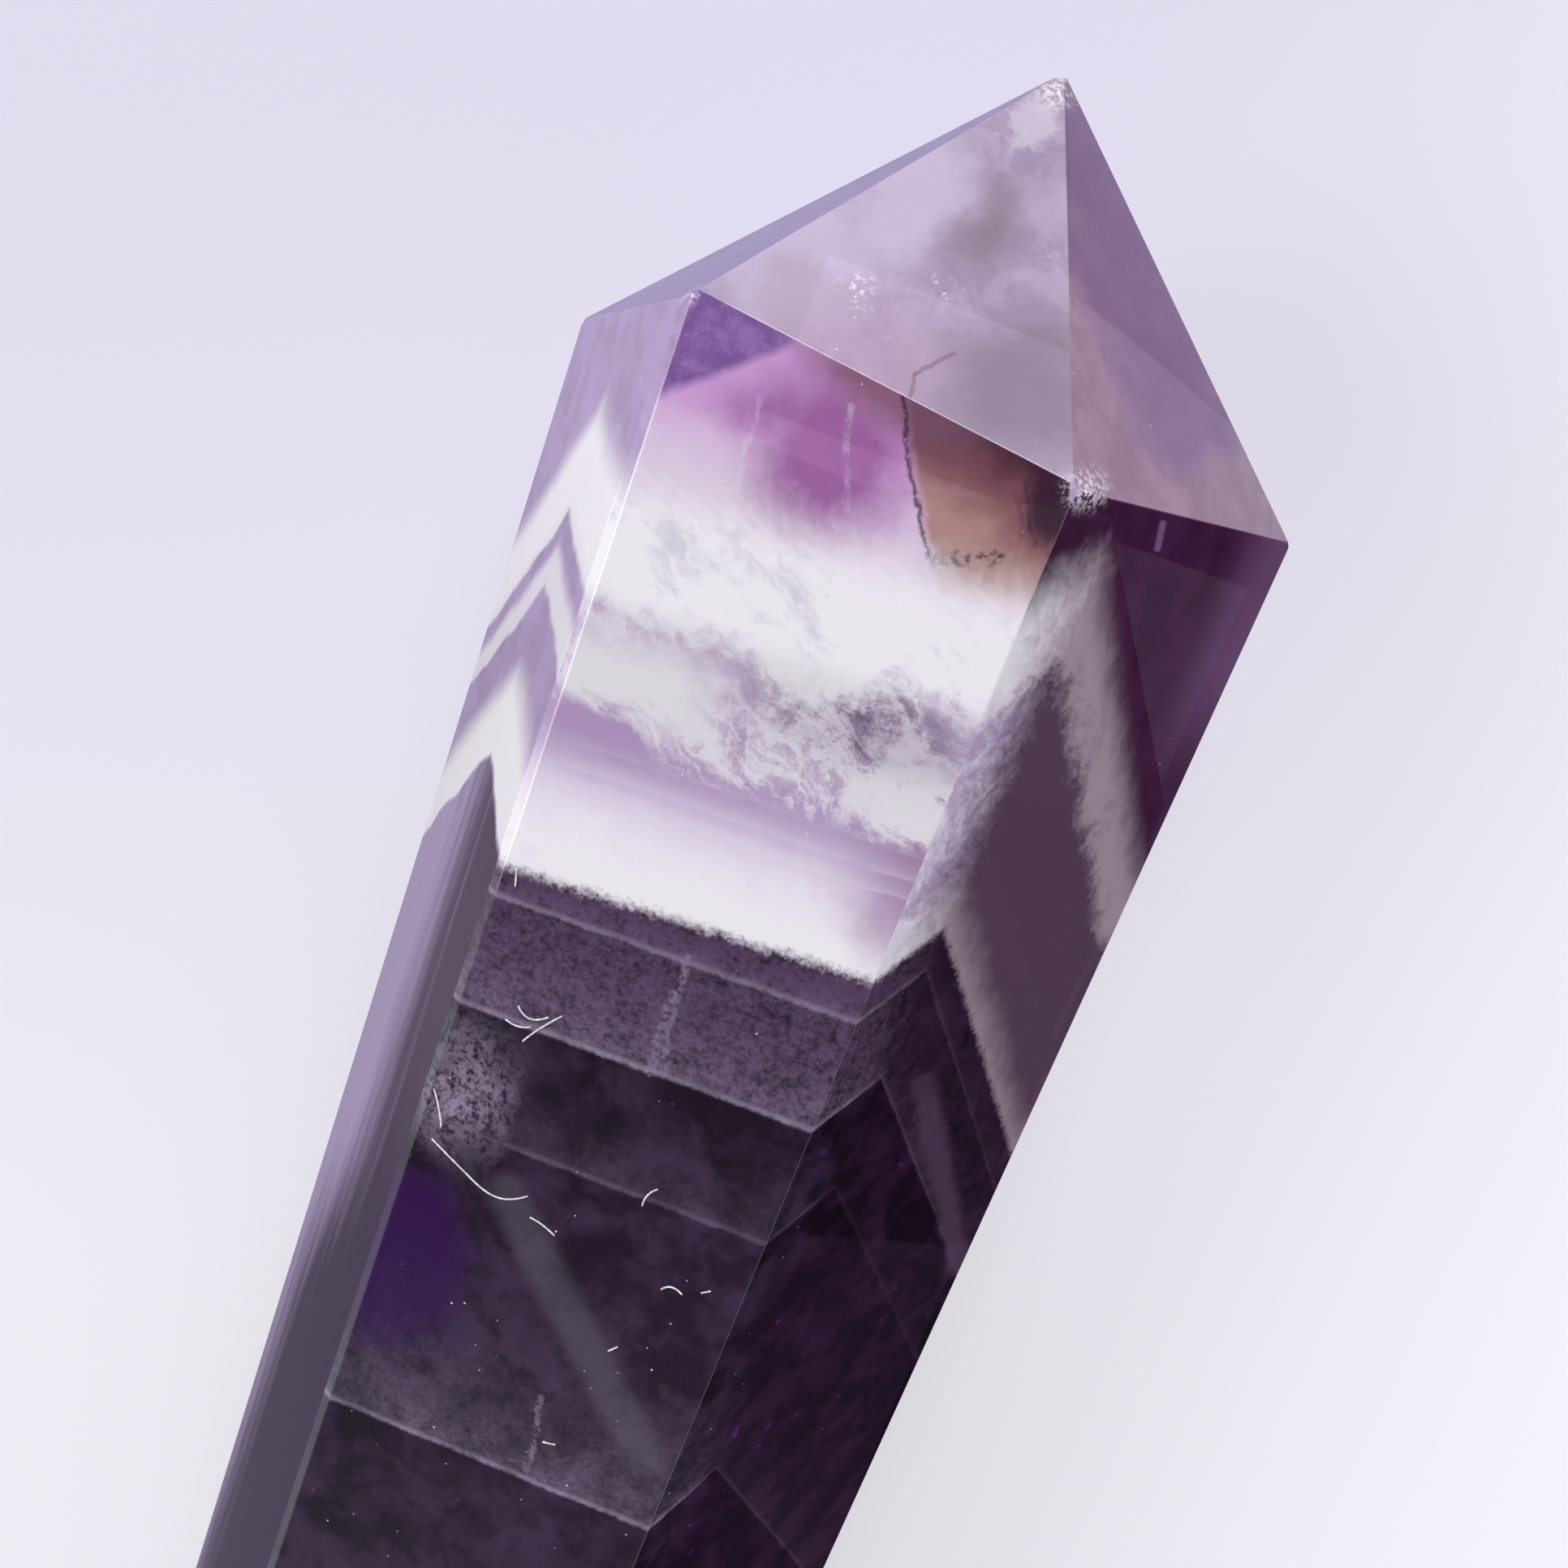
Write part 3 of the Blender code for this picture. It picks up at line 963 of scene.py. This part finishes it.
# Each fibre's route seen from above, in millimetres.
FIBRES = (
    ((-4.9, 7.1), (-4.2, 6.7), (-3.55, 6.45), (-2.7, 6.1), (-2.0, 6.1), (-1.5, 6.6)),
    ((-3.75, 12.3), (-3.4, 11.9), (-3.1, 12.0), (-2.85, 12.4)),
    ((-3.3, 11.3), (-2.9, 11.9), (-2.45, 12.55)),
    ((-4.0, 11.7), (-3.6, 11.5), (-3.2, 11.8)),
    ((1.97, 8.75), (1.8, 8.4), (1.85, 7.95)),
    ((3.15, 5.6), (3.25, 5.95), (3.5, 5.95), (3.75, 5.7)),
    ((4.3, 6.25), (4.55, 6.22)),
    ((2.43, 2.95), (2.72, 3.2)),
    ((-1.2, 6.1), (-0.8, 6.05), (-0.48, 5.87)),
    ((1.48, -1.2), (1.8, -0.95)),
    ((-5.05, 16.15), (-4.87, 15.75)),
    ((-5.3, 8.6), (-4.9, 8.1), (-4.75, 7.5)),
)


def lint_finish():
    """Dull cotton, with painted light and shade along the fibre as it twists."""
    bench = Bench(bpy.data.materials.new("cotton_lint"))
    # Painted light and shade: stretches of each fibre turn lighter and darker.
    painted_light_along = bench.noise(bench.place()[0], 6.0, 3.0, 0.6)
    colour = bench.blend(bench.smooth(painted_light_along, 0.35, 0.65), LINT_PAINTED_SHADE, LINT_PAINTED_LIGHT)
    return bench.finish(bench.principled(Base_Color=colour, Roughness=0.75))


def fibre_curve(route, wander):
    """A smooth bent tube through the route, with a little curl of its own."""
    curve = bpy.data.curves.new("fibre", "CURVE")
    curve.dimensions = "3D"
    curve.bevel_depth = FIBRE_RADIUS * MM
    curve.bevel_resolution = 1
    curve.resolution_u = 6
    curve.use_fill_caps = True
    line = curve.splines.new("NURBS")
    line.points.add(len(route) - 1)
    line.order_u = min(4, len(route))
    line.use_endpoint_u = True
    for point, (across, along) in zip(line.points, route):
        shift = [wander.uniform(-CURL, CURL) for axis in range(2)]
        lift = FIBRE_RADIUS * wander.uniform(1.0, 2.5)
        place = Vector((across + shift[0], along + shift[1], TOP_FACE_Z + lift)) * MM
        point.co = (*place, 1.0)
    return curve


def lint():
    """All the fibres, as one piece."""
    wander = random.Random(LINT_SEED)
    together = bmesh.new()
    for route in FIBRES:
        guide = bpy.data.objects.new("fibre", fibre_curve(route, wander))
        bpy.context.scene.collection.objects.link(guide)
        drawn = guide.evaluated_get(bpy.context.evaluated_depsgraph_get())
        tube = bpy.data.meshes.new_from_object(drawn)
        together.from_mesh(tube)
        bpy.data.objects.remove(guide)
        bpy.data.meshes.remove(tube)
    bmesh.ops.remove_doubles(together, verts=together.verts, dist=SAME_POINT)
    bmesh.ops.recalc_face_normals(together, faces=together.faces)
    piece = new_piece("lint_fibres", together, [lint_finish()])
    print("lint fibres:", len(FIBRES), "faces:", len(piece.data.polygons))
    return piece


lint()

# %% [markdown]
# ## The floor
#
# A dark glossy stone on white paper would throw a hard shadow and mirror the paper in its side
# facets. A sheet of opal acrylic that is lit softly from beneath, as on a light table, keeps the
# ground pale and almost without shadow. Painted light shifts its tone a little: darker and cooler
# at the far left, lighter at the near right, most of all on the right, where the left softbox
# leaves it dimmer. The facets mirror the dim room below instead of the sheet.

# %% Floor
FLOOR_SIDE = 1.6
FLOOR_FAR_PAINTED_SHADE = (0.70, 0.68, 0.80)
FLOOR_NEAR = (0.835, 0.825, 0.87)
FLOOR_RIGHT_PAINTED_LIGHT = (0.93, 0.915, 0.97)
FLOOR_GLOW = 0.60


def floor_finish():
    """Opal acrylic, lit softly from beneath as well as from above."""
    bench = Bench(bpy.data.materials.new("opal_floor"))
    across, along = bench.place()[1:3]
    # Painted light: the tone darkens towards the far left and lightens towards the right, to even out
    # the softboxes' fall-off and the stone's shadow.
    tone_and_painted_light = bench.blend(bench.smooth(along - across * 0.5, 55.0, -15.0), FLOOR_FAR_PAINTED_SHADE, FLOOR_NEAR)
    tone_and_painted_light = bench.blend(bench.smooth(across, 0.0, 45.0), tone_and_painted_light, FLOOR_RIGHT_PAINTED_LIGHT)
    lit_from_above = bench.stretched(tone_and_painted_light, (1.0 - FLOOR_GLOW,) * 3)
    surface = bench.principled(
        Base_Color=lit_from_above, Roughness=0.9, Specular_IOR_Level=0.1,
        Emission_Color=tone_and_painted_light, Emission_Strength=FLOOR_GLOW,
    )
    # So wide and dim a lamp gains nothing from being aimed at, and rays find it by themselves.
    bench.owner.cycles.emission_sampling = "NONE"
    return bench.finish(surface)


def pale_floor():
    sheet = bmesh.new()
    bmesh.ops.create_grid(sheet, x_segments=1, y_segments=1, size=FLOOR_SIDE / 2)
    mesh = bpy.data.meshes.new("floor")
    sheet.to_mesh(mesh)
    sheet.free()
    mesh.materials.append(floor_finish())
    floor = bpy.data.objects.new("floor", mesh)
    bpy.context.scene.collection.objects.link(floor)
    floor.visible_glossy = False
    print("floor, mm on a side:", round(FLOOR_SIDE / MM))
    return floor


pale_floor()


# %% [markdown]
# ## Light
#
# Polished facets show what they mirror. The broad top face looks almost straight up, so a dim
# ceiling keeps it deep and clear, and the bright wall of light round the horizon is what the near
# facets catch. Two softboxes, one beyond the stone and one at its left, add a soft direction.

# %% Light
HORIZON_LIGHT = (0.93, 0.92, 0.98)
ZENITH_LIGHT = (0.17, 0.13, 0.19)
LOW_LIGHT = (0.40, 0.355, 0.51)
LOW_DIM = (0.15, 0.128, 0.185)
LOW_DARK = (0.03, 0.02, 0.035)
# Name, place and size in metres, and power in watts. Each softbox faces the stone.
SOFTBOXES = (
    ("softbox_far", (0.1, 0.55, 0.5), (0.5, 0.4), 4.0),
    ("softbox_left", (-0.5, -0.05, 0.42), (0.4, 0.4), 2.2),
)


def studio_light():
    """Bright at the horizon, dimmer overhead; what a polished facet mirrors from below is dim."""
    world = bpy.data.worlds.new("studio")
    bpy.context.scene.world = world
    bench = Bench(world)
    there = bench.node("TexCoord")
    split = bench.node("SeparateXYZ", Vector=Value(bench, there.outputs["Generated"]))
    sideways, forwards, up = (Value(bench, socket) for socket in split.outputs)
    sky = bench.blend(bench.smooth(up, 0.1, 0.9), HORIZON_LIGHT, ZENITH_LIGHT)
    shaded = bench.smooth(sideways, -0.1, 0.35) * bench.smooth(forwards, 0.3, -0.1)
    low = bench.blend(bench.smooth(forwards, -0.35, 0.05), LOW_DIM, LOW_LIGHT)
    low = bench.blend(shaded, low, LOW_DARK)
    colour = bench.blend(bench.smooth(up, -0.12, 0.02), low, sky)
    return bench.finish(bench.shader("Background", Color=colour))


def softbox(name, place, size, power):
    data = bpy.data.lights.new(name, "AREA")
    data.shape = "RECTANGLE"
    data.size, data.size_y = size
    data.energy = power
    lamp = bpy.data.objects.new(name, data)
    lamp.location = place
    lamp.rotation_euler = (-Vector(place)).to_track_quat("-Z", "Y").to_euler()
    bpy.context.scene.collection.objects.link(lamp)
    print(name, "watts:", power)
    return lamp


studio_light()
for facts in SOFTBOXES:
    softbox(*facts)


# %% [markdown]
# ## The view
#
# The camera's place and turn were solved from the stone's corners: the six corners that can be
# seen fix where the eye is, how it is turned and how long the lens is. It stands close, about six
# centimetres away, which is why the near end looks so much wider than the rest.

# %% Camera
CAMERA_PLACE = (0.0068848, 0.0340815, 0.0623857)
CAMERA_RIGHT = (0.913594, 0.338914, -0.224683)
CAMERA_UP = (-0.385894, 0.896822, -0.216325)
CAMERA_BACK = (0.128185, 0.284337, 0.950116)
LENS = 37.003


def camera():
    data = bpy.data.cameras.new("camera")
    data.lens = LENS
    data.sensor_width = 36.0
    data.clip_start = 0.001
    eye = bpy.data.objects.new("camera", data)
    turn = Matrix((CAMERA_RIGHT, CAMERA_UP, CAMERA_BACK)).transposed()
    eye.matrix_world = Matrix.Translation(CAMERA_PLACE) @ turn.to_4x4()
    bpy.context.scene.collection.objects.link(eye)
    bpy.context.scene.camera = eye
    print("lens, mm:", LENS)


camera()

# %% [markdown]
# ## Colour and light paths
#
# The plain Standard view keeps the violets as they were mixed. Light that enters the stone is
# followed through six refractions, which is enough for a stone that is milky or dark inside. The
# noise threshold lets quiet parts of the picture stop early, so that the work goes to the stone.

# %% Colour and light paths
scene = bpy.context.scene
scene.view_settings.view_transform = "Standard"
scene.cycles.adaptive_threshold = 0.04
scene.cycles.max_bounces = 7
scene.cycles.transmission_bounces = 6
scene.cycles.transparent_max_bounces = 32
scene.cycles.caustics_reflective = False
scene.cycles.caustics_refractive = True
